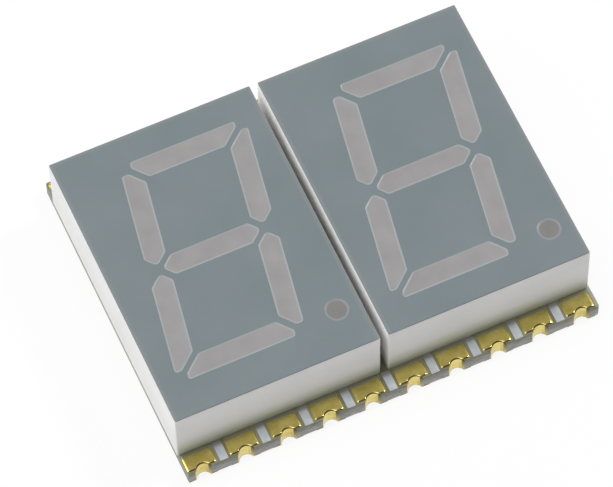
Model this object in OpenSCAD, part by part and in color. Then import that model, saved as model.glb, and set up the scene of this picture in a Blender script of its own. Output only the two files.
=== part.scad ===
// Two-digit surface-mount LED display with seven slanted segments and a decimal
// point a digit. It lies on its terminals, face up: +X runs along the rows of
// terminals, +Y to the top of the digits, +Z out of the face. The origin is the
// middle of its foot. Millimetres.

/* [Reflectors] */
// Depth of a reflector block, front wall to rear wall
reflector_d = 17.5; // [15.5:0.1:22]
// Height of a reflector block, without the layer that bonds it down
reflector_h = 4.05; // [2:0.05:8]
// Radius of a reflector block's upright corners
reflector_corner_r = 0.1; // [0.05:0.05:0.8]
// Free gap between the two reflector blocks
reflector_gap = 0.45; // [0.2:0.05:1.5]
// Thickness of the ink on a reflector's face
print_t = 0.05; // [0.02:0.01:0.2]

/* [Digits] */
// Height of a digit
digit_h = 13.7; // [11:0.1:15]
// Width of a digit along X, over its upright segments
digit_w = 7.65; // [6.5:0.05:8.4]
// Lean of a digit to the right, in degrees
slant = 10; // [0:1:12]
// Width of a segment, square to its length
segment_w = 1.27; // [1:0.01:1.6]
// Free gap between two neighbouring segments
segment_gap = 0.35; // [0.2:0.05:0.6]
// How far the segments at a digit's outer corners are cut back
corner_cut = 0.65; // [0.5:0.05:0.8]
// Radius of a segment's corners
segment_r = 0.25; // [0.05:0.05:0.4]
// Radius of a decimal point
point_r = 0.68; // [0.6:0.01:0.8]
// Distance of a decimal point to the right of its digit's middle
point_x = 4.65; // [4.2:0.01:5]
// How far a decimal point reaches below its digit
point_drop = 0.13; // [0:0.01:0.3]
// Place of the left digit from the middle of its block, along X
left_digit_x = 0.02; // [-0.3:0.01:0.3]
// Place of the left digit from the middle of its block, along Y
left_digit_y = 0.16; // [-0.4:0.01:0.4]
// Place of the right digit from the middle of its block, along X
right_digit_x = 0.02; // [-0.3:0.01:0.3]
// Place of the right digit from the middle of its block, along Y
right_digit_y = -0.17; // [-0.4:0.01:0.4]

/* [Board] */
// Thickness of the bare board
board_t = 1; // [0.6:0.1:2]
// Board that stands out in front of the blocks, and behind them
board_ledge = 1.25; // [1:0.05:3]
// Board past the middle of the end terminals
board_end = 0.99; // [0.95:0.01:3]
// Radius of the board's corners
board_corner_r = 0.1; // [0.05:0.05:0.5]
// How far the board sits to the right of the blocks' middle
board_x = 0.1; // [-0.3:0.01:0.3]
// How far the board sits behind the blocks' middle
board_y = -0.01; // [-0.2:0.01:0.2]

/* [Terminals] */
// Pitch of the terminals
pitch = 2.54; // [2.45:0.01:3]
// How far the rows of terminals sit to the right of the blocks' middle
row_x = 0.01; // [-0.3:0.01:0.3]
// Thickness of the terminals' plating and of the tracks
plate_t = 0.05; // [0.03:0.01:0.1]
// Radius of a terminal's half-round notch, inside the plating
notch_r = 0.46; // [0.3:0.01:0.6]
// How far a notch's axis lies outside the board's edge
notch_out = 0.16; // [0:0.01:0.2]
// Width of a terminal's pads
pad_w = 1.75; // [1.2:0.05:1.9]
// How far a top pad stays back from the board's edge
pad_setback = 0.11; // [0.05:0.01:0.3]
// How far a top pad reaches in under the reflector block
pad_tuck = 0.25; // [0.1:0.05:0.6]
// Length of a bottom pad, from the board's edge
foot_l = 2; // [1.2:0.1:4]
// Free gap at each side of a white bar, to the pads beside it
bar_gap = 0.15; // [0.08:0.01:0.2]
// Thickness of a white bar's ink
bar_t = 0.03; // [0.02:0.01:0.05]

/* [Inside the digits] */
// Width of the copper tracks on the board
track_w = 0.3; // [0.15:0.05:0.3]
// Side of an LED die
die_w = 0.25; // [0.15:0.01:0.3]
// Height of an LED die
die_h = 0.2; // [0.1:0.05:0.4]
// Length of a bond wire's span, from its die's middle to the end of its track
wire_l = 0.45; // [0.4:0.01:0.5]
// Diameter of a bond wire
wire_d = 0.04; // [0.03:0.01:0.06]
// Height of a wire's straight leg over its die
wire_leg = 0.05; // [0.02:0.01:0.2]

/* [Hidden] */
SIDES = ["left", "right"];
LETTERS = ["a", "b", "c", "d", "e", "f", "g"];
POINT = 7;                    // the decimal point comes after the seven segments
ROW_COUNT = 10;               // terminals in a row
DIGIT_COUNT = 5;              // of them for each digit
CUT = 0.5;                    // how far cutting shapes run past what they cut
ROUND = 48;                   // sides of small round shapes
CORNER_STEPS = 5;             // flats on a segment's rounded corner
CORNER_SHARE = 0.45;          // the most of an edge that the arc at one of its ends takes up

function terminal_name(k) = str("terminal_", k < 10 ? "0" : "", k);
function segment_name(side, k) = str(side, "_segment_", LETTERS[k]);

// The board's size follows the terminals along X and the blocks along Y.
board_l = (ROW_COUNT - 1) * pitch + 2 * board_end;
board_w = reflector_d + 2 * board_ledge;
board_front = board_y - board_w / 2;
board_rear = board_y + board_w / 2;
reflector_w = (board_l - reflector_gap) / 2;
bar_w = pitch - pad_w - 2 * bar_gap;

// Heights over what the display stands on
board_z = plate_t;
board_top = board_z + board_t;
copper_top = board_top + plate_t;
face_z = copper_top + reflector_h;
total_h = face_z + print_t;

// The ring that the segments' middle lines make, before the digit leans
upright_w = segment_w / cos(slant);
ring_u = digit_w / 2 - upright_w / 2;
ring_v = digit_h / 2 - segment_w / 2;
inner_u = digit_w / 2 - upright_w;
inner_v = digit_h / 2 - segment_w;
miter = segment_gap / sqrt(2);

function sign_of(side) = side == "left" ? -1 : 1;
function block_middle(side) = sign_of(side) * (reflector_w + reflector_gap) / 2;
function digit_middle(side) = side == "left"
    ? [block_middle(side) + left_digit_x, left_digit_y]
    : [block_middle(side) + right_digit_x, right_digit_y];

// A point of the upright digit, leant over and put in its place
function leant(side, p) = digit_middle(side) + [p.x + p.y * tan(slant), p.y];

// Terminals count anticlockwise, from the front left corner.
function in_front(k) = k <= ROW_COUNT;
function column(k) = in_front(k) ? k - 1 : 2 * ROW_COUNT - k;
function terminal_x(k) = row_x + (column(k) - (ROW_COUNT - 1) / 2) * pitch;

function unit(v) = v / norm(v);

// The corner at p of an outline, as an arc that its neighbours a and b leave room for
function arc_at(a, p, b, r) =
    let (to_a = unit(a - p), to_b = unit(b - p),
         half = acos(to_a * to_b) / 2,
         reach = min(r / tan(half), CORNER_SHARE * min(norm(a - p), norm(b - p))),
         radius = reach * tan(half),
         middle = p + unit(to_a + to_b) * radius / sin(half),
         first = p + to_a * reach - middle,
         turn = cross(to_a, to_b) > 0 ? -1 : 1,
         start = atan2(first.y, first.x))
    [for (i = [0 : CORNER_STEPS])
        let (angle = start + turn * (180 - 2 * half) * i / CORNER_STEPS)
        middle + radius * [cos(angle), sin(angle)]];

function rounded(points, r) =
    let (n = len(points))
    [for (i = [0 : n - 1]) each arc_at(points[(i + n - 1) % n], points[i], points[(i + 1) % n], r)];

// Outline of the top segment of the upright digit
function top_segment() =
    let (end = digit_w / 2 - corner_cut, foot = inner_u - miter,
         drop = inner_v + (end - foot))
    [[-end, digit_h / 2], [end, digit_h / 2], [end, drop],
     [foot, inner_v], [-foot, inner_v], [-end, drop]];

// Outline of the upper right segment
function upright_segment() =
    let (out = digit_w / 2, top = digit_h / 2 - corner_cut, shoulder = inner_v - miter,
         foot = upright_w / 2 + miter)
    [[inner_u, shoulder], [inner_u + top - shoulder, top], [out, top],
     [out, foot], [ring_u, miter], [inner_u, foot]];

// Outline of the middle segment
function middle_segment() =
    let (tip = ring_u - miter, shoulder = tip - segment_w / 2)
    [[-tip, 0], [-shoulder, segment_w / 2], [shoulder, segment_w / 2],
     [tip, 0], [shoulder, -segment_w / 2], [-shoulder, -segment_w / 2]];

function flipped(points, fu, fv) = [for (p = points) [fu * p.x, fv * p.y]];

// Outlines of segments a to g of the upright digit
SEGMENTS = [
    top_segment(),
    upright_segment(),
    flipped(upright_segment(), 1, -1),
    flipped(top_segment(), 1, -1),
    flipped(upright_segment(), -1, -1),
    flipped(upright_segment(), -1, 1),
    middle_segment()
];

// Where each segment's die sits in the upright digit, and which way its wire runs
DIE_PLACES = [
    [0, ring_v], [ring_u, ring_v / 2], [ring_u, -ring_v / 2], [0, -ring_v],
    [-ring_u, -ring_v / 2], [-ring_u, ring_v / 2], [0, 0]
];
WIRE_WAYS = [[0, 1], [1, 0], [1, 0], [0, -1], [-1, 0], [-1, 0], [0, -1], [0, -1]];

function point_middle(side) =
    digit_middle(side) + [point_x, point_r - point_drop - digit_h / 2];
function die_at(side, k) = k == POINT ? point_middle(side) : leant(side, DIE_PLACES[k]);
function wire_end(side, k) = die_at(side, k) + wire_l * WIRE_WAYS[k];

// A slab of height h that stands at z
module slab(z, h) {
    translate([0, 0, z]) linear_extrude(h) children();
}

// A rectangle with true round corners, its middle at the origin
module round_rectangle(length, width, r) {
    square([length - 2 * r, width], center = true);
    square([length, width - 2 * r], center = true);
    for (x = [-1, 1], y = [-1, 1])
        translate([x * (length / 2 - r), y * (width / 2 - r)]) circle(r, $fn = ROUND);
}

module board_outline() {
    translate([board_x, board_y]) round_rectangle(board_l, board_w, board_corner_r);
}

module block_outline(side) {
    translate([block_middle(side), 0]) round_rectangle(reflector_w, reflector_d, reflector_corner_r);
}

// The eight windows of a digit, from z up by h
module window(side, k, z, h) {
    if (k == POINT)
        translate(concat(point_middle(side), z)) cylinder(r = point_r, h = h, $fn = ROUND);
    else
        slab(z, h) polygon(rounded([for (p = SEGMENTS[k]) leant(side, p)], segment_r));
}

module windows(side, z, h) {
    for (k = [0 : POINT]) window(side, k, z - CUT, h + 2 * CUT);
}

// The round hole of terminal k, through everything that stands on it
module notch_hole(k, r) {
    edge = in_front(k) ? board_front - notch_out : board_rear + notch_out;
    translate([terminal_x(k), edge, -CUT]) cylinder(r = r, h = copper_top + 2 * CUT, $fn = ROUND);
}

module circuit_board() {
    color("darkseagreen") difference() {
        slab(board_z, board_t) board_outline();
        for (k = [1 : 2 * ROW_COUNT]) notch_hole(k, notch_r + plate_t);
    }
}

// A pad of terminal k, from its inner end to that far inside the board's edge
module pad(k, inner_y, setback, z) {
    x = terminal_x(k);
    edge = in_front(k) ? board_front + setback : board_rear - setback;
    intersection() {
        slab(z, plate_t) board_outline();
        translate([x - pad_w / 2, min(inner_y, edge), z - CUT])
            cube([pad_w, abs(inner_y - edge), plate_t + 2 * CUT]);
    }
}

// The inner end of every top pad in the row of terminal k
function pad_end(k) = (in_front(k) ? -1 : 1) * (reflector_d / 2 - pad_tuck);

module top_pad(k) {
    pad(k, pad_end(k), pad_setback, board_top);
}

module terminal(k) {
    foot_end = in_front(k) ? board_front + foot_l : board_rear - foot_l;
    color("goldenrod") difference() {
        union() {
            top_pad(k);
            pad(k, foot_end, 0, 0);
            intersection() {
                slab(0, copper_top) board_outline();
                notch_hole(k, notch_r + plate_t);
            }
        }
        notch_hole(k, notch_r);
    }
}

// White bars between the terminals of a row, from the board's edge to the blocks
module mask_bars(front) {
    wall = (front ? -1 : 1) * reflector_d / 2;
    edge = front ? board_front : board_rear;
    first = front ? 1 : ROW_COUNT + 1;
    color("gainsboro") for (k = [first : first + ROW_COUNT - 2])
        translate([(terminal_x(k) + terminal_x(k + 1) - bar_w) / 2, min(wall, edge), board_top])
            cube([bar_w, abs(wall - edge), bar_t]);
}

module reflector(side) {
    color("white") difference() {
        slab(copper_top, reflector_h) block_outline(side);
        windows(side, copper_top, reflector_h);
    }
}

module face_print(side) {
    color("slategray") difference() {
        slab(face_z, print_t) block_outline(side);
        windows(side, face_z, print_t);
    }
}

// The two sides of a track along a route, mitred where it turns and squared off
// half a width past both ends
function track_side(route, half) =
    let (last = len(route) - 1,
         way = [for (i = [1 : last]) unit(route[i] - route[i - 1])],
         out = [for (w = way) half * [-w.y, w.x]],
         cap = abs(half))
    [
        route[0] - cap * way[0] + out[0],
        for (i = [1 : last - 1])
            let (both = out[i - 1] + out[i])
            route[i] + both * 2 * cap * cap / (both * both),
        route[last] + cap * way[last - 1] + out[last - 1]
    ];

function reversed(points) = [for (i = [len(points) - 1 : -1 : 0]) points[i]];

module track(route) {
    slab(board_top, plate_t)
        polygon(concat(track_side(route, track_w / 2), reversed(track_side(route, -track_w / 2))));
}

// The first terminal of the digit's five in the front row, and in the rear row
function first_front(side) = side == "left" ? 1 : 1 + DIGIT_COUNT;
function first_rear(side) = side == "left" ? 2 * ROW_COUNT : 2 * ROW_COUNT - DIGIT_COUNT;

// Where the track of a terminal leaves its top pad
function leaves(k) = [terminal_x(k), pad_end(k)];

// Terminals from left to right are e, d, common, c and point in front,
// and g, f, common, a and b behind.
function front_start(side, i) = leaves(first_front(side) + i);
function rear_start(side, i) = leaves(first_rear(side) - i);

// Halfway between a row's pads and the digit, where tracks turn to the side
function front_turn(side) = (leaves(1).y + digit_middle(side).y - digit_h / 2) / 2;
function rear_turn(side) = (leaves(2 * ROW_COUNT).y + digit_middle(side).y + digit_h / 2) / 2;

// Routes that step aside beyond their segment keep this far from its middle line.
lane = 2.5 * track_w;

function lane_x(side, k) = die_at(side, k).x + WIRE_WAYS[k].x * lane;

function signal_routes(side) =
    let (end = [for (k = [0 : POINT]) wire_end(side, k)],
         ft = front_turn(side), rt = rear_turn(side))
    [
        [rear_start(side, 3), [rear_start(side, 3).x, rt], [end[0].x, rt], end[0]],
        [rear_start(side, 4), [rear_start(side, 4).x, end[1].y], end[1]],
        [front_start(side, 3), [front_start(side, 3).x, ft], [lane_x(side, 2), ft],
            [lane_x(side, 2), end[2].y], end[2]],
        [front_start(side, 1), [front_start(side, 1).x, ft], [end[3].x, ft], end[3]],
        [front_start(side, 0), [front_start(side, 0).x, end[4].y], end[4]],
        [rear_start(side, 1), [rear_start(side, 1).x, rt], [lane_x(side, 5), rt],
            [lane_x(side, 5), end[5].y], end[5]],
        [rear_start(side, 0), [rear_start(side, 0).x, end[6].y], end[6]],
        [front_start(side, 4), [front_start(side, 4).x, end[POINT].y], end[POINT]]
    ];

// The common track joins every die's foot and both common terminals.
function common_routes(side) =
    let (fork = leant(side, [ring_u, -ring_v / 4]),
         point = point_middle(side), branch_x = point.x + lane,
         front = front_start(side, 2), rear = rear_start(side, 2))
    [
        [die_at(side, 5), leant(side, [-ring_u, ring_v]), leant(side, [ring_u, ring_v]),
            leant(side, [ring_u, -ring_v]), leant(side, [-ring_u, -ring_v]), die_at(side, 4)],
        [leant(side, [ring_u, 0]), die_at(side, 6)],
        [fork, [branch_x, fork.y], [branch_x, point.y], point],
        [front, [front.x, die_at(side, 3).y]],
        [rear, [rear.x, die_at(side, 0).y]]
    ];

// A track starts square at the pad that it leaves, so it stays off the pad itself.
module off_pads() {
    between_rows = reflector_d - 2 * pad_tuck;
    intersection() {
        children();
        translate([-board_l, -between_rows / 2, 0]) cube([2 * board_l, between_rows, total_h]);
    }
}

module signal_tracks(side) {
    color("peru") off_pads() union() for (route = signal_routes(side)) track(route);
}

module common_track(side) {
    color("peru") off_pads() union() for (route = common_routes(side)) track(route);
}

module led_dies(side) {
    color("dimgray") for (k = [0 : POINT])
        translate(concat(die_at(side, k), copper_top + die_h / 2))
            cube([die_w, die_w, die_h], center = true);
}

// A wire rises from its die, arches over and comes down on its track's end.
module bond_wires(side) {
    rise = die_h + wire_leg;
    color("gold") for (k = [0 : POINT]) {
        turn = atan2(WIRE_WAYS[k].y, WIRE_WAYS[k].x);
        translate(concat(die_at(side, k), copper_top)) rotate(turn) {
            translate([0, 0, die_h]) cylinder(d = wire_d, h = wire_leg, $fn = ROUND);
            translate([wire_l, 0, 0]) cylinder(d = wire_d, h = rise, $fn = ROUND);
            translate([wire_l / 2, 0, rise]) rotate([90, 0, 0])
                rotate_extrude(angle = 180, $fn = ROUND)
                    translate([wire_l / 2, 0]) circle(d = wire_d, $fn = ROUND);
        }
    }
}

// Cast epoxy fills a window from the board up to the face, around what is in it.
module epoxy(side, k) {
    difference() {
        window(side, k, board_top, total_h - board_top);
        signal_tracks(side);
        common_track(side);
        led_dies(side);
        bond_wires(side);
    }
}

module segment(side, k) {
    color("lightgray") epoxy(side, k);
}

module decimal_point(side) {
    color("rosybrown") epoxy(side, POINT);
}

// The thin layer that bonds a block down, level with the copper
module bonding_layer(side) {
    color("beige") difference() {
        slab(board_top, plate_t) block_outline(side);
        windows(side, board_top, plate_t);
        for (k = [1 : 2 * ROW_COUNT]) top_pad(k);
        signal_tracks(side);
        common_track(side);
    }
}

circuit_board();
for (k = [1 : 2 * ROW_COUNT])
    terminal(k);
mask_bars(front = true);  // front_mask_bars
mask_bars(front = false);  // rear_mask_bars
for (side = SIDES) {
    reflector(side);
    face_print(side);
    for (k = [0 : len(LETTERS) - 1])
        segment(side, k);
    decimal_point(side);
    bonding_layer(side);
    common_track(side);
    signal_tracks(side);
    led_dies(side);
    bond_wires(side);
}
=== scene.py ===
"""Looks of a two-digit surface-mount LED display.

Two white reflector blocks with grey faces and cast epoxy segments stand on a
small board whose gold-plated terminals wrap round its two long edges.
"""

import math

import bmesh
import bpy
from mathutils import Matrix, Vector


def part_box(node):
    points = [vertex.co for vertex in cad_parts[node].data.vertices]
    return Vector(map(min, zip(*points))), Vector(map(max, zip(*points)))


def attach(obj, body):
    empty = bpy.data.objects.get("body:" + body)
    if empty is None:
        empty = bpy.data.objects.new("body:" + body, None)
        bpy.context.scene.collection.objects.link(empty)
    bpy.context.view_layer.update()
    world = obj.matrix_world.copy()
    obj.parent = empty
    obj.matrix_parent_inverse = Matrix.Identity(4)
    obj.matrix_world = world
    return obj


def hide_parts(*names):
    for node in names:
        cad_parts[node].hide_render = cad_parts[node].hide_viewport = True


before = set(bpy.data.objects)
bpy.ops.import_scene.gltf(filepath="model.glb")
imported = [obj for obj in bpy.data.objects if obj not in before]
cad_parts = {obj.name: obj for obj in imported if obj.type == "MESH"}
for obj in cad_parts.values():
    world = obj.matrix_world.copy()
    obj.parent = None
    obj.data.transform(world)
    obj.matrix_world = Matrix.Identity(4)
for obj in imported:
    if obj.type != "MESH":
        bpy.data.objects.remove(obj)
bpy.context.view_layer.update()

MM = 0.001
SIDES = ("left", "right")
WINDOWS = [f"segment_{letter}" for letter in "abcdefg"] + ["decimal_point"]
TERMINALS = [f"terminal_{k:02d}" for k in range(1, 21)]
ROWS = ("front", "rear")

# Edge roundings and small steps, in millimetres
BLOCK_CORNER = 0.1        # upright corners of a reflector block
BLOCK_EDGE = 0.07         # its long edges, as the mould leaves them
BLOCK_FOOT_EDGE = 0.01    # and those on the board
INK_SETBACK = 0.03        # ink stops this far inside the block's outline
INK_EDGE = 0.02           # round its top
INK_FOOT_EDGE = 0.01      # and round its foot
INK_RIM = 0.25            # width over which it thins towards its ends
SEGMENT_RING = 0.12       # ring in which the cast epoxy climbs a segment's well
POINT_RING = 0.17         # and a decimal point's
MENISCUS_DEPTH = 0.03     # how far its middle then lies below the face
# Shares of the ring's width and of that depth, from the rim inwards
MENISCUS_STEPS = ((0.45, 0.75), (0.55, 0.25))
PALE_DEPTH = 0.9 * MENISCUS_DEPTH  # down to here the epoxy is as pale as its rim
BOARD_EDGE = 0.03         # rims of the board
PAD_SETBACK = 0.11        # a top pad stays back this far from the board's edge
PAD_TUCK = 0.25           # and reaches in this far under its block
# Steps, width and rise, of the etched flank round a pad
PAD_FLANK = ((0.05, 0.035), (0.03, 0.010))
PAD_CORNER = 0.11         # more than the flank is wide, or its corners would cross
PAD_SHIFT = 0.09          # its top stops this much further from the right than from the left
PAD_TOP = 0.03            # points that lie this near a pad's top go with it
PAD_FACE = 0.005          # and those that lie this near are on its flat face
PAD_AREA = 0.5            # only that face is larger than this, in square millimetres
FOOT_EDGE = 0.02          # round the foot of a terminal
NOTCH_R = 0.46            # a notch's radius, inside its plating
NOTCH_OUT = 0.16          # its axis lies this far outside the board's edge
NOTCH_PLATING = 0.05      # thickness of that plating
NOTCH_SIDES = 64
# Steps, radius beyond the notch's and depth under the pad's face, of its eased rim
NOTCH_RIM = ((0, 0.055), (0.015, 0.035), (0.07, 0.003), (0.09, -0.001))
LIP = 0.01                # the notch's plating stands this far above the laminate
SHADE_FROM = 0.33, 0.24    # right of this, at its top and foot, a notch's plating is darkened with painted shade
SHADE_AMOUNT = 1, 0.3      # and this much
SHADE_TOP = 0.1            # its top is what lies this near the board's face
SHADED_ROUGHNESS = 0.5
FLANK_SHADE_FROM = 0.8      # right of this a pad's flank is darkened with painted shade
RESIN_AND_SHADE_REACH = 0.22, 0.46  # resin crept out from under the blocks, and on the white bars painted shade lies there too: full, and spent
REAR_REACH = 0.5          # it went this much further behind them
REACH_WANDER = 0.08       # and its edge wanders by this much
FOOT_SHADE_RISE = 0.35, 1.6   # painted shade on the blocks' front and rear walls above their feet: full, and spent
BAR_EDGE = 0.012          # top rims of a white bar
BAR_SETBACK = 0.03        # it stops this far inside the board's edge
LIT_THROUGH_END = 0.24, 0.16     # from here to its right end painted light makes the laminate pale
FLAT_BORDER = 0.004       # narrow border that keeps a flat face's shading flat
CUTTER_CLEARANCE = 0.5    # cutters run this far past what they cut
FRONT_CUTTER = 2, 1       # what cuts the posts flush reaches this far out, and up and down
CLOSE = 1e-4              # places nearer than this are the same

# Spacing of the laminate's threads in millimetres: some six times the real one,
# which is too fine to show
WEAVE = math.pi
WAVE_CYCLE = 2 * math.pi / 20  # length of one wave of the wave texture, at a scale of 1

# The grey cloth in front of the set, in metres, and its colour
CURTAIN_WIDTH = 4
CURTAIN_LEAN = 0.02
CURTAIN_REACH = 0.6
CURTAIN_TOP = 1.0
CURTAIN_GREY = "#5A5A5A"

# Shares of plain white in the floor, as the camera and as mirrored rays see it
FLOOR_GLOW = 0.9
FLOOR_MIRRORED = 0.8

# Where the camera stands: azimuth, elevation and roll in degrees
AZIMUTH, ELEVATION, ROLL = -23.03, 61.5, -1.50
LENS = 282.9
AIM = Vector((-0.365, 0.866, 0)) * MM
DISTANCE = 269.8 * MM


# ---------------------------------------------------------------- modelling

# Pieces are modelled at a thousand times their size, one unit to the millimetre,
# because bevels and cuts fail on edges a few hundredths of a millimetre long.

def node_box(node):
    """Lowest and highest corner of a CAD node, in millimetres."""
    low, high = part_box(node)
    return low / MM, high / MM


def activate(piece):
    """Selects a piece alone and makes it the one that operators act on."""
    bpy.ops.object.select_all(action="DESELECT")
    piece.select_set(True)
    bpy.context.view_layer.objects.active = piece


def select(piece, edges=None, faces=None):
    """Selects, in edit mode, the edges or faces for which the given test holds."""
    bpy.ops.mesh.select_all(action="DESELECT")
    bpy.ops.mesh.select_mode(type="EDGE" if edges else "FACE")
    mesh = bmesh.from_edit_mesh(piece.data)
    for item in mesh.edges if edges else mesh.faces:
        item.select_set(bool((edges or faces)(item)))
    bmesh.update_edit_mesh(piece.data)


def bevel_edges(piece, wanted, width, segments):
    select(piece, edges=wanted)
    bpy.ops.mesh.bevel(offset=width, segments=segments, profile=0.5, affect="EDGES")


def lies_at(height):
    """A test for edges that lie in the level plane at that height."""
    return lambda edge: all(abs(v.co.z - height) < CLOSE for v in edge.verts)


def upright(edge):
    a, b = (v.co for v in edge.verts)
    return abs(a.z - b.z) > CLOSE and (a.xy - b.xy).length < CLOSE


def sharp(edge, least=math.radians(35)):
    return len(edge.link_faces) == 2 and edge.calc_face_angle(0) > least


def add_box(name, low, high):
    bpy.ops.mesh.primitive_cube_add(size=1, location=(low + high) / 2, scale=high - low)
    bpy.ops.object.transform_apply(location=True, rotation=False, scale=True)
    piece = bpy.context.object
    piece.name = piece.data.name = name
    return piece


def rounded_slab(name, low, high, corner, top_edge, foot_edge):
    """A slab with round upright corners and softened rims."""
    piece = add_box(name, low, high)
    bpy.ops.object.mode_set(mode="EDIT")
    bevel_edges(piece, upright, corner, 8)
    bevel_edges(piece, lies_at(high.z), top_edge, 3)
    bevel_edges(piece, lies_at(low.z), foot_edge, 2)
    bpy.ops.object.mode_set(mode="OBJECT")
    return piece


def merged_copy(node, name):
    """A CAD node's mesh with its loose triangles joined and its flat faces whole."""
    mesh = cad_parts[node].data.copy()
    mesh.transform(Matrix.Scale(1 / MM, 4))
    mesh.materials.clear()
    piece = bpy.data.objects.new(name, mesh)
    bpy.context.scene.collection.objects.link(piece)
    activate(piece)
    bpy.ops.mesh.customdata_custom_splitnormals_clear()
    bpy.ops.object.mode_set(mode="EDIT")
    bpy.ops.mesh.select_all(action="SELECT")
    bpy.ops.mesh.remove_doubles(threshold=CLOSE)
    bpy.ops.mesh.dissolve_limited(angle_limit=math.radians(0.5))
    bpy.ops.object.mode_set(mode="OBJECT")
    return piece


def window_outline(node, name):
    """The single face that a well's epoxy shows, on its own."""
    piece = merged_copy(node, name)
    top = node_box(node)[1].z
    bpy.ops.object.mode_set(mode="EDIT")
    select(piece, faces=lambda face: face.calc_center_median().z < top - CLOSE)
    bpy.ops.mesh.delete(type="FACE")
    bpy.ops.object.mode_set(mode="OBJECT")
    return piece


def extrude(distance):
    """Extrudes what is selected straight up, or down where the distance is negative."""
    bpy.ops.mesh.extrude_region_move(TRANSFORM_OT_translate={"value": (0, 0, distance)})


def well_cutter(node, foot):
    """A post of the well's outline, from below the foot to above the face."""
    piece = window_outline(node, "well_cutter")
    top = node_box(node)[1].z
    bpy.ops.object.mode_set(mode="EDIT")
    bpy.ops.mesh.select_all(action="SELECT")
    bpy.ops.transform.translate(value=(0, 0, CUTTER_CLEARANCE))
    extrude(foot - top - 2 * CUTTER_CLEARANCE)
    bpy.ops.mesh.select_all(action="SELECT")
    bpy.ops.mesh.normals_make_consistent(inside=False)
    bpy.ops.object.mode_set(mode="OBJECT")
    return piece


def combine(piece, others, operation):
    """Adds the other pieces to a piece, or cuts them from it."""
    for other in others:
        activate(piece)
        modifier = piece.modifiers.new("combine", "BOOLEAN")
        modifier.object = other
        modifier.operation = operation
        modifier.solver = "EXACT"
        bpy.ops.object.modifier_apply(modifier=modifier.name)
        bpy.data.objects.remove(other)


def settle(piece, material, slot, *nodes, smooth_under=40):
    """Brings a finished piece to metres and lets it stand for its CAD nodes."""
    piece.data.transform(Matrix.Scale(MM, 4))
    piece.data.materials.clear()
    piece.data.materials.append(material)
    activate(piece)
    bpy.ops.object.shade_smooth_by_angle(angle=math.radians(smooth_under))
    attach(piece, "root")
    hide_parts(*nodes)
    return piece


# ---------------------------------------------------------------- materials

def srgb(code):
    """A hex colour as linear red, green, blue and alpha."""
    shares = [int(code[i:i + 2], 16) / 255 for i in (1, 3, 5)]
    return [s / 12.92 if s <= 0.04045 else ((s + 0.055) / 1.055) ** 2.4 for s in shares] + [1]


def per(size_mm):
    """Texture scale that repeats once in that many millimetres."""
    return 1 / (size_mm * MM)


def add(tree, kind, inputs=None, stops=(), **settings):
    """Adds a node with its settings, its colour stops, and its inputs' values or links."""
    node = tree.nodes.new("ShaderNode" + kind)
    for name, value in settings.items():
        setattr(node, name, value)
    for k, (place, code) in enumerate(stops):
        elements = node.color_ramp.elements
        element = elements[k] if k < 2 else elements.new(place)
        element.position = place
        element.color = srgb(code)
    for name, value in (inputs or {}).items():
        if isinstance(value, bpy.types.Node):
            value = value.outputs[0]
        if isinstance(value, bpy.types.NodeSocket):
            tree.links.new(value, node.inputs[name])
        else:
            node.inputs[name].default_value = value
    return node


def new_material(name):
    """An empty material, its tree and the object's own coordinates."""
    material = bpy.data.materials.new(name)
    material.use_nodes = True
    tree = material.node_tree
    tree.nodes.clear()
    return material, tree, add(tree, "TexCoord").outputs["Object"]


def resin_and_shade(tree, place, ragged):
    """How much the ledges change near the blocks: 1 at the blocks' feet, 0 where it ends; a resin
    film on the pads, and on the white bars partly resin and partly painted shade.
    """
    parts = add(tree, "SeparateXYZ", {0: place})
    rear = add(tree, "Math", {0: parts.outputs[1], 1: 0.0}, operation="GREATER_THAN")
    away = add(tree, "Math", {0: parts.outputs[1]}, operation="ABSOLUTE")
    away = add(tree, "Math", {0: rear, 1: -REAR_REACH * MM, 2: away},
               operation="MULTIPLY_ADD")
    reach = add(tree, "Math", {0: ragged, 1: REACH_WANDER * MM, 2: away}, operation="MULTIPLY_ADD")
    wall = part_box("left_reflector")[1].y
    return add(tree, "MapRange", {"Value": reach, "From Min": wall + RESIN_AND_SHADE_REACH[0] * MM,
                                  "From Max": wall + RESIN_AND_SHADE_REACH[1] * MM,
                                  "To Min": 1.0, "To Max": 0.0})


def white_moulding():
    """Glass-filled white polycarbonate, injection moulded in a spark-eroded tool:
    an even satin white with a very fine grain and faint flow clouds, greyed with
    painted shade at the foot of its front and rear walls, over the ledges."""
    material, tree, place = new_material("moulded_polycarbonate")
    flow = add(tree, "TexNoise", {"Vector": place, "Scale": per(3)})
    grain = add(tree, "TexNoise", {"Vector": place, "Scale": per(0.12), "Detail": 3})
    body = add(tree, "ValToRGB", {"Fac": flow}, stops=[(0.3, "#F0F0EF"), (0.7, "#F6F6F5")])
    # Painted shade: the front and rear walls grey towards their feet, where the ledge hides the
    # light
    parts = add(tree, "SeparateXYZ", {0: place})
    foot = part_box("left_reflector")[0].z
    height = add(tree, "MapRange", {"Value": parts.outputs[2],
                                    "From Min": foot + FOOT_SHADE_RISE[0] * MM,
                                    "From Max": foot + FOOT_SHADE_RISE[1] * MM,
                                    "To Min": 1.0, "To Max": 0.0},
                 interpolation_type="SMOOTHSTEP")
    facing = add(tree, "SeparateXYZ", {0: add(tree, "NewGeometry").outputs["Normal"]})
    before = add(tree, "Math", {0: facing.outputs[1]}, operation="ABSOLUTE")
    foot_shade = add(tree, "Math", {0: height, 1: before}, operation="MULTIPLY")
    tint = add(tree, "Mix", {0: foot_shade, 6: body, 7: srgb("#D8DBCC")}, data_type="RGBA")
    polish = add(tree, "MapRange", {"Value": grain, "From Min": 0.3, "From Max": 0.7,
                                    "To Min": 0.42, "To Max": 0.55})
    relief = add(tree, "Bump", {"Height": grain, "Distance": 0.006 * MM})
    shader = add(tree, "BsdfPrincipled", {"Base Color": tint.outputs[2], "Roughness": polish,
                                          "IOR": 1.58, "Normal": relief})
    add(tree, "OutputMaterial", {"Surface": shader})
    return material


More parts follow.
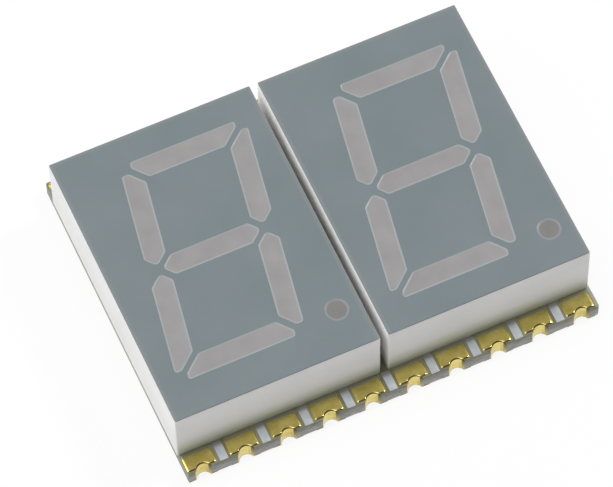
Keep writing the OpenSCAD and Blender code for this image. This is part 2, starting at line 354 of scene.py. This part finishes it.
def printed_rim(tree, place):
    """1 where the printed faces end at their sides and behind, 0 further in."""
    low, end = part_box("left_face_print")
    start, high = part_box("right_face_print")
    half = (high - low) / 2
    gap = (start.x - end.x) / 2
    centred = add(tree, "VectorMath", {0: place, 1: (high + low) / 2}, operation="SUBTRACT")
    parts = add(tree, "SeparateXYZ", {0: centred})
    aside = add(tree, "Math", {0: parts.outputs[0]}, operation="ABSOLUTE")
    outer = add(tree, "Math", {0: half.x, 1: aside}, operation="SUBTRACT")
    inner = add(tree, "Math", {0: aside, 1: gap}, operation="SUBTRACT")
    behind = add(tree, "Math", {0: half.y, 1: parts.outputs[1]}, operation="SUBTRACT")
    nearest = add(tree, "Math", {0: outer, 1: inner}, operation="MINIMUM")
    nearest = add(tree, "Math", {0: nearest, 1: behind}, operation="MINIMUM")
    return add(tree, "MapRange", {"Value": nearest, "From Min": INK_SETBACK * MM,
                                  "From Max": (INK_SETBACK + INK_RIM) * MM,
                                  "To Min": 1.0, "To Max": 0.0})


def grey_face_ink():
    """Two-part epoxy ink, screen printed on the face and baked: an even satin grey,
    a little thinner where it ends, so that the white shows through."""
    material, tree, place = new_material("screen_printed_ink")
    cloud = add(tree, "TexNoise", {"Vector": place, "Scale": per(4), "Detail": 4})
    peel = add(tree, "TexNoise", {"Vector": place, "Scale": per(0.22)})
    body = add(tree, "ValToRGB", {"Fac": cloud}, stops=[(0.3, "#737F83"), (0.7, "#7A8589")])
    tint = add(tree, "Mix", {0: printed_rim(tree, place), 6: body, 7: srgb("#868B8C")},
               data_type="RGBA")
    polish = add(tree, "MapRange", {"Value": peel, "From Min": 0.3, "From Max": 0.7,
                                    "To Min": 0.42, "To Max": 0.55})
    relief = add(tree, "Bump", {"Height": peel, "Distance": 0.004 * MM})
    shader = add(tree, "BsdfPrincipled", {"Base Color": tint.outputs[2], "Roughness": polish,
                                          "IOR": 1.5, "Normal": relief})
    add(tree, "OutputMaterial", {"Surface": shader})
    return material


def cast_epoxy(name, middle_low, middle_high, rim):
    """Epoxy cast in the wells, with a fine white diffuser: milky, faintly clouded,
    and lighter and bluer at its rim, partly where the white wall shows through and
    partly a painted highlight of the light that its meniscus mirrors."""
    material, tree, place = new_material(name)
    cloud = add(tree, "TexNoise", {"Vector": place, "Scale": per(1.2), "Detail": 4})
    haze = add(tree, "TexNoise", {"Vector": place, "Scale": per(0.15), "Detail": 3})
    body = add(tree, "ValToRGB", {"Fac": cloud}, stops=[(0.3, middle_low), (0.7, middle_high)])
    # Partly painted highlight: the rim colour also stands for light mirrored by the meniscus,
    # beside the white wall showing through
    edge = add(tree, "Attribute", attribute_name="rim")
    tint = add(tree, "Mix", {0: edge.outputs["Fac"], 6: body, 7: srgb(rim)}, data_type="RGBA")
    polish = add(tree, "MapRange", {"Value": haze, "From Min": 0.3, "From Max": 0.7,
                                    "To Min": 0.3, "To Max": 0.45})
    relief = add(tree, "Bump", {"Height": haze, "Distance": 0.003 * MM})
    shader = add(tree, "BsdfPrincipled", {"Base Color": tint.outputs[2], "Roughness": polish,
                                          "IOR": 1.54, "Normal": relief})
    add(tree, "OutputMaterial", {"Surface": shader})
    return material


def gold_plating():
    """Thin soft gold over nickel on etched copper: a deep satin yellow, uneven in tone,
    with tiny pits, darkened with painted shade and rougher on the right side of a notch
    and on a pad's right flank, and under a film of resin close to the blocks."""
    material, tree, place = new_material("immersion_gold")
    stain = add(tree, "TexNoise", {"Vector": place, "Scale": per(0.9), "Detail": 4,
                                   "Roughness": 0.6})
    pits = add(tree, "TexNoise", {"Vector": place, "Scale": per(0.1), "Detail": 3})
    metal = add(tree, "ValToRGB", {"Fac": stain}, stops=[(0.3, "#D2BD62"), (0.7, "#F0DE88")])
    polish = add(tree, "MapRange", {"Value": pits, "From Min": 0.3, "From Max": 0.7,
                                    "To Min": 0.12, "To Max": 0.2})
    relief = add(tree, "Bump", {"Height": pits, "Distance": 0.004 * MM})
    # Painted shade: darker and rougher on a notch's right side and on a pad's right flank
    painted_shade = add(tree, "Attribute", attribute_name="painted_shade")
    finish = add(tree, "Mix", {0: painted_shade.outputs["Fac"], 2: polish, 3: SHADED_ROUGHNESS})
    plated = add(tree, "Mix", {0: painted_shade.outputs["Fac"], 6: metal, 7: srgb("#685A2A")},
                 data_type="RGBA")
    film = resin_and_shade(tree, place, stain)
    tint = add(tree, "Mix", {0: film, 6: plated.outputs[2], 7: srgb("#85846F")},
               data_type="RGBA")
    gleam = add(tree, "Math", {0: 1.0, 1: film}, operation="SUBTRACT")
    shader = add(tree, "BsdfPrincipled", {"Base Color": tint.outputs[2], "Metallic": gleam,
                                          "Roughness": finish, "Normal": relief})
    add(tree, "OutputMaterial", {"Surface": shader})
    return material


def glass_epoxy():
    """Woven glass and epoxy laminate, routed to size: olive between the pads, darkened
    with painted shade, with the weave faint on it, pale at its right end with painted light
    shining up through it, and streaked plies at its edges, lighter towards the table with
    painted light from below."""
    material, tree, place = new_material("glass_epoxy_laminate")
    warp, weft = (add(tree, "TexWave", {"Vector": place, "Scale": WAVE_CYCLE * per(WEAVE),
                                        "Distortion": 1}, bands_direction=way)
                  for way in "XY")
    weave = add(tree, "Math", {0: warp.outputs[1], 1: weft.outputs[1]}, operation="MAXIMUM")
    parts = add(tree, "SeparateXYZ", {0: place})
    # Painted shade: the olive is darkened for the shade in the narrow gaps between the pads
    olive = add(tree, "ValToRGB", {"Fac": weave}, stops=[(0.2, "#74724F"), (0.8, "#868464")])
    pale = add(tree, "ValToRGB", {"Fac": weave}, stops=[(0.2, "#A9AC98"), (0.8, "#BDBFAE")])
    foot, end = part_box("circuit_board")
    # Painted light: the right end is paler, as if lit from below through the laminate
    lit_through = add(tree, "MapRange", {"Value": parts.outputs[0],
                                  "From Min": end.x - LIT_THROUGH_END[0] * MM,
                                  "From Max": end.x - LIT_THROUGH_END[1] * MM})
    face = add(tree, "Mix", {0: lit_through, 6: olive, 7: pale}, data_type="RGBA")
    depth = add(tree, "MapRange", {"Value": parts.outputs[2], "From Min": foot.z,
                                   "From Max": end.z})
    # Painted light: the edges are lighter towards the table, for the light it throws up on them
    painted_table_light = add(tree, "ValToRGB", {"Fac": depth}, stops=[
        (0.0, "#D0CFCC"), (0.25, "#C6C5C1"), (0.5, "#B8B8B3"), (0.75, "#A5A69E"),
        (1.0, "#8E9083")])
    stretch = add(tree, "Mapping", {"Vector": place, "Scale": (0.3, 0.3, 1)})
    streak = add(tree, "TexNoise", {"Vector": stretch, "Scale": per(0.2), "Detail": 4,
                                    "Roughness": 0.6})
    shade = add(tree, "ValToRGB", {"Fac": streak}, stops=[(0.35, "#C6C4C6"), (0.65, "#FFFFFF")])
    edge = add(tree, "Mix", {0: 1.0, 6: painted_table_light, 7: shade}, data_type="RGBA",
               blend_type="MULTIPLY")
    facing = add(tree, "SeparateXYZ", {0: add(tree, "NewGeometry").outputs["Normal"]})
    level = add(tree, "Math", {0: facing.outputs[2]}, operation="ABSOLUTE")
    across = add(tree, "Math", {0: facing.outputs[0]}, operation="ABSOLUTE")
    sawn = add(tree, "Mix", {0: across, 6: edge.outputs[2], 7: srgb("#8F908A")},
               data_type="RGBA")
    tint = add(tree, "Mix", {0: level, 6: sawn.outputs[2], 7: face.outputs[2]},
               data_type="RGBA")
    fibres = add(tree, "TexNoise", {"Vector": place, "Scale": per(0.15), "Detail": 3})
    polish = add(tree, "MapRange", {"Value": fibres, "From Min": 0.3, "From Max": 0.7,
                                    "To Min": 0.4, "To Max": 0.6})
    relief = add(tree, "Bump", {"Height": weave, "Distance": 0.008 * MM})
    shader = add(tree, "BsdfPrincipled", {"Base Color": tint.outputs[2], "Roughness": polish,
                                          "IOR": 1.55, "Normal": relief})
    add(tree, "OutputMaterial", {"Surface": shader})
    return material


def white_bar_ink():
    """White marking ink, screen printed on the laminate between the pads:
    thin and matt, so that the laminate greys it, and darker at the blocks, partly from resin and
    partly painted shade."""
    material, tree, place = new_material("white_marking_ink")
    mottle = add(tree, "TexNoise", {"Vector": place, "Scale": per(0.5), "Detail": 3})
    peel = add(tree, "TexNoise", {"Vector": place, "Scale": per(0.12)})
    white = add(tree, "ValToRGB", {"Fac": mottle}, stops=[(0.3, "#BBC0C5"), (0.7, "#CBCFD3")])
    # Painted shade, partly resin: the white bars darken towards the blocks' walls
    film = resin_and_shade(tree, place, mottle)
    tint = add(tree, "Mix", {0: film, 6: white, 7: srgb("#8D8F88")}, data_type="RGBA")
    polish = add(tree, "MapRange", {"Value": peel, "From Min": 0.3, "From Max": 0.7,
                                    "To Min": 0.45, "To Max": 0.6})
    relief = add(tree, "Bump", {"Height": peel, "Distance": 0.005 * MM})
    shader = add(tree, "BsdfPrincipled", {"Base Color": tint.outputs[2], "Roughness": polish,
                                          "Normal": relief})
    add(tree, "OutputMaterial", {"Surface": shader})
    return material


def bonding_epoxy():
    """Clear epoxy film that bonds the blocks down: slightly amber and smooth."""
    material, tree, place = new_material("bonding_film")
    cloud = add(tree, "TexNoise", {"Vector": place, "Scale": per(0.8)})
    tint = add(tree, "ValToRGB", {"Fac": cloud}, stops=[(0.3, "#B9AE86"), (0.7, "#CFC5A0")])
    polish = add(tree, "MapRange", {"Value": cloud, "To Min": 0.2, "To Max": 0.35})
    relief = add(tree, "Bump", {"Height": cloud, "Distance": 0.004 * MM})
    shader = add(tree, "BsdfPrincipled", {"Base Color": tint, "Roughness": polish,
                                          "Normal": relief})
    add(tree, "OutputMaterial", {"Surface": shader})
    return material


def copper_track():
    """Rolled copper foil, etched and left bare under the epoxy: satin, with a fine grain."""
    material, tree, place = new_material("etched_copper_foil")
    grain = add(tree, "TexNoise", {"Vector": place, "Scale": per(0.08)})
    tint = add(tree, "ValToRGB", {"Fac": grain}, stops=[(0.3, "#D18A63"), (0.7, "#E8A783")])
    polish = add(tree, "MapRange", {"Value": grain, "To Min": 0.3, "To Max": 0.5})
    relief = add(tree, "Bump", {"Height": grain, "Distance": 0.003 * MM})
    shader = add(tree, "BsdfPrincipled", {"Base Color": tint, "Metallic": 1.0,
                                          "Roughness": polish, "Normal": relief})
    add(tree, "OutputMaterial", {"Surface": shader})
    return material


def led_die():
    """Gallium phosphide crystal, sawn from a wafer: dark, glassy and finely scored."""
    material, tree, place = new_material("sawn_crystal")
    score = add(tree, "TexNoise", {"Vector": place, "Scale": per(0.03)})
    tint = add(tree, "ValToRGB", {"Fac": score}, stops=[(0.3, "#4A4038"), (0.7, "#62574A")])
    polish = add(tree, "MapRange", {"Value": score, "To Min": 0.15, "To Max": 0.4})
    relief = add(tree, "Bump", {"Height": score, "Distance": 0.002 * MM})
    shader = add(tree, "BsdfPrincipled", {"Base Color": tint, "Roughness": polish,
                                          "IOR": 2.4, "Normal": relief})
    add(tree, "OutputMaterial", {"Surface": shader})
    return material


def gold_wire():
    """Drawn fine gold wire: bright, with faint marks of the die along it."""
    material, tree, place = new_material("drawn_gold_wire")
    marks = add(tree, "TexNoise", {"Vector": place, "Scale": per(0.02)})
    tint = add(tree, "ValToRGB", {"Fac": marks}, stops=[(0.3, "#F2CB62"), (0.7, "#FFDF86")])
    polish = add(tree, "MapRange", {"Value": marks, "To Min": 0.15, "To Max": 0.25})
    relief = add(tree, "Bump", {"Height": marks, "Distance": 0.001 * MM})
    shader = add(tree, "BsdfPrincipled", {"Base Color": tint, "Metallic": 1.0,
                                          "Roughness": polish, "Normal": relief})
    add(tree, "OutputMaterial", {"Surface": shader})
    return material


# ------------------------------------------------------------------- pieces

def cutters(side):
    """Cutters for a block's eight wells."""
    foot = node_box(f"{side}_reflector")[0].z
    return [well_cutter(f"{side}_{window}", foot) for window in WINDOWS]


def reflector_block(side, material):
    low, high = node_box(f"{side}_reflector")
    piece = rounded_slab(f"{side}_block", low, high, BLOCK_CORNER, BLOCK_EDGE,
                         BLOCK_FOOT_EDGE)
    combine(piece, cutters(side), "DIFFERENCE")
    settle(piece, material, "white_moulding", f"{side}_reflector")


def face_ink(side, material):
    low, high = node_box(f"{side}_face_print")
    setback = Vector((INK_SETBACK, INK_SETBACK, 0))
    piece = rounded_slab(f"{side}_face_ink", low + setback, high - setback,
                         BLOCK_CORNER - INK_SETBACK, INK_EDGE, INK_FOOT_EDGE)
    combine(piece, cutters(side), "DIFFERENCE")
    settle(piece, material, "grey_face_ink", f"{side}_face_print")


def epoxy_fill(side, window, material, slot, ring):
    """A well's filling: a post with the shallow dish that shrinkage leaves in its face."""
    node = f"{side}_{window}"
    low, high = node_box(node)
    piece = window_outline(node, f"{node}_epoxy")
    bpy.ops.object.mode_set(mode="EDIT")
    bpy.ops.mesh.select_all(action="SELECT")
    extrude(low.z - high.z)
    bpy.ops.mesh.select_all(action="SELECT")
    bpy.ops.mesh.normals_make_consistent(inside=False)
    select(piece, faces=lambda face: face.normal.z > 0.9)
    for width, depth in MENISCUS_STEPS:
        bpy.ops.mesh.inset(thickness=ring * width, depth=-MENISCUS_DEPTH * depth)
    bpy.ops.object.mode_set(mode="OBJECT")
    rim = piece.data.attributes.new("rim", "FLOAT", "POINT")
    for vertex, value in zip(piece.data.vertices, rim.data):
        value.value = float(high.z - vertex.co.z < PALE_DEPTH)
    settle(piece, material, slot, node)


def board(material):
    piece = merged_copy("circuit_board", "laminate_board")
    low, high = node_box("circuit_board")
    bpy.ops.object.mode_set(mode="EDIT")
    for height in (low.z, high.z):
        bevel_edges(piece, lambda e: lies_at(height)(e) and sharp(e), BOARD_EDGE, 2)
    bpy.ops.object.mode_set(mode="OBJECT")
    settle(piece, material, "board", "circuit_board")


def add_post(name, axis, radius, foot, top):
    """A round upright post."""
    bpy.ops.mesh.primitive_cylinder_add(vertices=NOTCH_SIDES, radius=radius, depth=top - foot,
                                        location=(axis.x, axis.y, (foot + top) / 2))
    bpy.ops.object.transform_apply(location=True, rotation=False, scale=False)
    piece = bpy.context.object
    piece.name = piece.data.name = name
    return piece


def notch_cutter(axis, foot, top):
    """A post that opens out at its top, to cut a notch and ease its rim."""
    piece = add_post("notch_cutter", axis, NOTCH_R, foot - CUTTER_CLEARANCE,
                     top - NOTCH_RIM[0][1])
    bpy.ops.object.mode_set(mode="EDIT")
    select(piece, faces=lambda face: face.normal.z > 0.99)
    radius, height = NOTCH_R, top - NOTCH_RIM[0][1]
    for wider, depth in NOTCH_RIM[1:] + ((NOTCH_RIM[-1][0], -CUTTER_CLEARANCE),):
        extrude(top - depth - height)
        growth = (NOTCH_R + wider) / radius
        bpy.ops.transform.resize(value=(growth, growth, 1),
                                 center_override=(axis.x, axis.y, top - depth))
        radius, height = NOTCH_R + wider, top - depth
    bpy.ops.object.mode_set(mode="OBJECT")
    return piece


def model_terminal():
    """The plating of the first terminal: foot, half-round notch, and etched top pad."""
    low, high = node_box(TERMINALS[0])
    board_low, board_high = node_box("circuit_board")
    axis = Vector(((low.x + high.x) / 2, low.y - NOTCH_OUT, 0))
    piece = add_box("terminal_model", low, Vector((high.x, high.y, board_low.z)))
    bpy.ops.object.mode_set(mode="EDIT")
    bevel_edges(piece, lies_at(low.z), FOOT_EDGE, 2)
    bpy.ops.object.mode_set(mode="OBJECT")
    sleeve = add_post("sleeve", axis, NOTCH_R + NOTCH_PLATING, low.z + FOOT_EDGE,
                      board_high.z + LIP)
    pad_end = node_box("left_reflector")[0].y + PAD_TUCK
    pad = add_box("pad", Vector((low.x, low.y + PAD_SETBACK, board_high.z)),
                  Vector((high.x, pad_end, high.z)))
    bpy.ops.object.mode_set(mode="EDIT")
    bevel_edges(pad, upright, PAD_CORNER, 4)
    select(pad, faces=lambda face: face.normal.z > 0.99)
    bpy.ops.transform.translate(value=(0, 0, -sum(rise for _, rise in PAD_FLANK)))
    for width, rise in PAD_FLANK:
        bpy.ops.mesh.inset(thickness=width, depth=rise)
    bpy.ops.object.mode_set(mode="OBJECT")
    for vertex in pad.data.vertices:
        if vertex.co.x > axis.x and vertex.co.z > high.z - PAD_TOP:
            vertex.co.x -= PAD_SHIFT
    combine(piece, [sleeve, pad], "UNION")
    out, over = FRONT_CUTTER
    front = add_box("front_cutter",
                    Vector((low.x - CUTTER_CLEARANCE, low.y - out, low.z - over)),
                    Vector((high.x + CUTTER_CLEARANCE, low.y, high.z + over)))
    combine(piece, [front, notch_cutter(axis, low.z, high.z)], "DIFFERENCE")
    bpy.ops.object.mode_set(mode="EDIT")
    select(piece, faces=lambda face: face.normal.z > 0.999 and face.calc_area() > PAD_AREA)
    bpy.ops.mesh.inset(thickness=FLAT_BORDER, depth=0, use_even_offset=False)
    bpy.ops.object.mode_set(mode="OBJECT")
    # Painted shade: the right side of a notch's plating and a pad's right flank are darkened
    painted_shade = piece.data.attributes.new("painted_shade", "FLOAT", "POINT")
    for vertex, value in zip(piece.data.vertices, painted_shade.data):
        level = 0 if vertex.co.z > board_high.z - SHADE_TOP else 1
        spot = vertex.co.xy - axis.xy
        in_notch = spot.length < NOTCH_R + NOTCH_PLATING + CLOSE
        limit = SHADE_FROM[level] if in_notch else FLANK_SHADE_FROM
        if spot.x > limit and vertex.co.z < high.z - PAD_FACE:
            value.value = SHADE_AMOUNT[level]
    return piece


def plated_terminals(material):
    """Copies of one terminal, those of the rear row turned round."""
    model = model_terminal()
    low, high = node_box(TERMINALS[0])
    middle = (low.x + high.x) / 2
    for node in TERMINALS:
        piece = model.copy()
        piece.data = model.data.copy()
        piece.name = piece.data.name = f"{node}_plating"
        bpy.context.scene.collection.objects.link(piece)
        node_low, node_high = node_box(node)
        node_middle = (node_low.x + node_high.x) / 2
        if node_low.y < 0:
            place = Matrix.Translation((node_middle - middle, node_low.y - low.y, 0))
        else:
            turn = Matrix.Rotation(math.pi, 4, "Z")
            place = Matrix.Translation((node_middle + middle, node_high.y + low.y, 0)) @ turn
        piece.data.transform(place)
        settle(piece, material, "gold_plating", node, smooth_under=28)
    bpy.data.objects.remove(model)


def marking_bars(row, material):
    """A row of white bars, pulled in from the board's edge and softened round their tops."""
    node = f"{row}_mask_bars"
    piece = merged_copy(node, f"{row}_marking_bars")
    low, high = node_box(node)
    edge = max(abs(low.y), abs(high.y))
    for vertex in piece.data.vertices:
        if abs(vertex.co.y) > edge - BAR_SETBACK:
            vertex.co.y = math.copysign(edge - BAR_SETBACK, vertex.co.y)
    bpy.ops.object.mode_set(mode="EDIT")
    bevel_edges(piece, lambda e: lies_at(high.z)(e) and sharp(e), BAR_EDGE, 2)
    bpy.ops.object.mode_set(mode="OBJECT")
    settle(piece, material, "white_bar_ink", node)


def paint(node, material):
    """Gives a CAD node that stays its material."""
    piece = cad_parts[node]
    piece.data.materials.clear()
    piece.data.materials.append(material)


# ---------------------------------------------------------- floor and light

def seen_directly(tree, path):
    """1 for rays from the camera or through glass."""
    return add(tree, "Math", {0: path["Is Camera Ray"], 1: path["Is Transmission Ray"]},
               operation="MAXIMUM")


def seen_plainly(tree, direct, mirrored):
    """Shares for rays from the camera or through glass and for mirrored ones,
    and none for the light that falls."""
    path = add(tree, "LightPath").outputs
    seen = add(tree, "Math", {0: seen_directly(tree, path), 1: direct}, operation="MULTIPLY")
    glossy = add(tree, "Math", {0: path["Is Glossy Ray"], 1: mirrored}, operation="MULTIPLY")
    return add(tree, "Math", {0: seen, 1: glossy}, operation="MAXIMUM")


def make_floor():
    """A white table that looks white and still takes a faint shadow."""
    bpy.ops.mesh.primitive_plane_add(size=3)
    floor = bpy.context.object
    floor.name = "floor"
    material, tree, _ = new_material("white_table")
    paper = add(tree, "BsdfDiffuse", {"Color": srgb("#FAFAFA")})
    glow = add(tree, "Emission", {"Color": (1, 1, 1, 1), "Strength": 1.0})
    surface = add(tree, "MixShader", {0: seen_plainly(tree, FLOOR_GLOW, FLOOR_MIRRORED),
                                      1: paper, 2: glow})
    add(tree, "OutputMaterial", {"Surface": surface})
    floor.data.materials.append(material)


def make_curtain():
    """A grey cloth that leans over the front of the set, which no camera sees."""
    bpy.ops.mesh.primitive_plane_add(size=1)
    curtain = bpy.context.object
    curtain.name = "grey_curtain"
    curtain.scale = (CURTAIN_WIDTH, math.hypot(CURTAIN_REACH, CURTAIN_TOP), 1)
    curtain.location = (0, -CURTAIN_LEAN - CURTAIN_REACH / 2, CURTAIN_TOP / 2)
    curtain.rotation_euler = (math.atan2(CURTAIN_TOP, CURTAIN_REACH), 0, 0)
    curtain.visible_camera = False
    material, tree, _ = new_material("grey_cloth")
    cloth = add(tree, "BsdfDiffuse", {"Color": srgb(CURTAIN_GREY)})
    add(tree, "OutputMaterial", {"Surface": cloth})
    curtain.data.materials.append(material)


def make_world(ambient, overhead):
    """White all round, and greyer overhead, as mirrored rays see it."""
    world = bpy.data.worlds.new("studio")
    bpy.context.scene.world = world
    world.use_nodes = True
    tree = world.node_tree
    tree.nodes.clear()
    way = add(tree, "SeparateXYZ", {0: add(tree, "TexCoord").outputs["Generated"]})
    mirrored = add(tree, "MapRange", {"Value": way.outputs[2], "From Min": 0.3,
                                      "From Max": 0.8, "To Min": 1.0, "To Max": overhead})
    path = add(tree, "LightPath").outputs
    fall = add(tree, "Mix", {0: path["Is Glossy Ray"], 2: ambient, 3: mirrored})
    strength = add(tree, "Mix", {0: seen_directly(tree, path), 2: fall, 3: 1.0})
    sky = add(tree, "Background", {"Color": (1, 1, 1, 1), "Strength": strength})
    add(tree, "OutputWorld", {"Surface": sky})


def softbox(name, direction, distance, size, light):
    """A square lamp facing the object, which adds that much light on a surface facing it."""
    lamp = bpy.data.lights.new(name, "AREA")
    lamp.shape = "SQUARE"
    lamp.size = size
    lamp.energy = light * math.pi * math.pi * distance * distance
    holder = bpy.data.objects.new(name, lamp)
    way = Vector(direction).normalized()
    holder.location = way * distance
    holder.rotation_euler = way.to_track_quat("Z", "Y").to_euler()
    holder.visible_camera = False
    bpy.context.scene.collection.objects.link(holder)


def make_camera():
    azimuth, elevation, roll = (math.radians(a) for a in (AZIMUTH, ELEVATION, ROLL))
    back = Vector((math.sin(azimuth) * math.cos(elevation),
                   -math.cos(azimuth) * math.cos(elevation), math.sin(elevation)))
    right = Vector((0, 0, 1)).cross(back).normalized()
    above = back.cross(right)
    across = math.cos(roll) * right + math.sin(roll) * above
    lens = bpy.data.cameras.new("camera")
    lens.lens = LENS
    lens.clip_start = 0.01
    holder = bpy.data.objects.new("camera", lens)
    rows = Matrix((across, back.cross(across), back)).transposed().to_4x4()
    holder.matrix_world = Matrix.Translation(AIM + back * DISTANCE) @ rows
    bpy.context.scene.collection.objects.link(holder)
    bpy.context.scene.camera = holder


# ------------------------------------------------------------------ the whole

make_camera()
make_floor()
make_curtain()
make_world(ambient=0.6, overhead=0.4)
softbox("left_box", (-0.50, 0.04, 0.87), distance=0.6, size=0.7, light=0.72)
softbox("right_box", (0.66, 0.05, 0.75), distance=0.6, size=0.12, light=0.37)
bpy.context.scene.view_settings.view_transform = "Standard"

moulding, ink, plating = white_moulding(), grey_face_ink(), gold_plating()
segment_epoxy = cast_epoxy("diffused_epoxy", "#959393", "#9D9B9B", "#A0A5A6")
point_epoxy = cast_epoxy("tinted_epoxy", "#7E7C7B", "#858381", "#8C9092")
film, copper, crystal, wire = bonding_epoxy(), copper_track(), led_die(), gold_wire()

board(glass_epoxy())
plated_terminals(plating)
bar_ink = white_bar_ink()
for row in ROWS:
    marking_bars(row, bar_ink)
for side in SIDES:
    reflector_block(side, moulding)
    face_ink(side, ink)
    for window in WINDOWS[:-1]:
        epoxy_fill(side, window, segment_epoxy, "segment_epoxy", SEGMENT_RING)
    epoxy_fill(side, WINDOWS[-1], point_epoxy, "point_epoxy", POINT_RING)
    paint(f"{side}_bonding_layer", film)
    paint(f"{side}_common_track", copper)
    paint(f"{side}_signal_tracks", copper)
    paint(f"{side}_led_dies", crystal)
    paint(f"{side}_bond_wires", wire)
